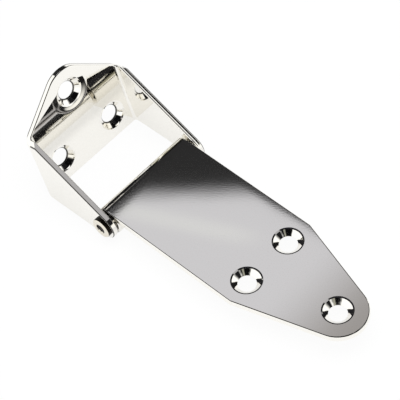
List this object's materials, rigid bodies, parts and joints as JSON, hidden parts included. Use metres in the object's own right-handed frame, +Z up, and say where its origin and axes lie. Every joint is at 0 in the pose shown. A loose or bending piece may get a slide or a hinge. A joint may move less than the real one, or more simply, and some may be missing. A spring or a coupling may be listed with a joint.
{
  "type": "hatch hinge",
  "caption": "Polished hatch hinge: a flat strap leaf rolled round a headed pin between the upright ears of a folded bracket leaf.",
  "frame": {"origin": "on the hinge pin's axis, midway between the bracket's ears", "axes": "+X along the strap leaf from the pin to its tip; +Y along the pin, from its head to its set end; +Z up, out of the strap's countersunk face"},
  "size_m": [0.1292, 0.0456, 0.0376],
  "materials": {
    "strap_leaf": "stainless steel sheet, mirror polished",
    "bracket_leaf": "stainless steel sheet, mirror polished",
    "hinge_pin": "stainless steel bar, polished"
  },
  "bodies": {
    "bracket": {"bracket_leaf": "bracket_leaf", "hinge_pin": "hinge_pin"},
    "strap": {"strap_leaf": "strap_leaf"}
  },
  "joints": [
    {"name": "hinge_turn", "type": "hinge", "parent": "bracket", "child": "strap", "pos_m": [0, 0, 0], "axis": [0, 1, 0], "range_deg": [-125, 165]}
  ]
}
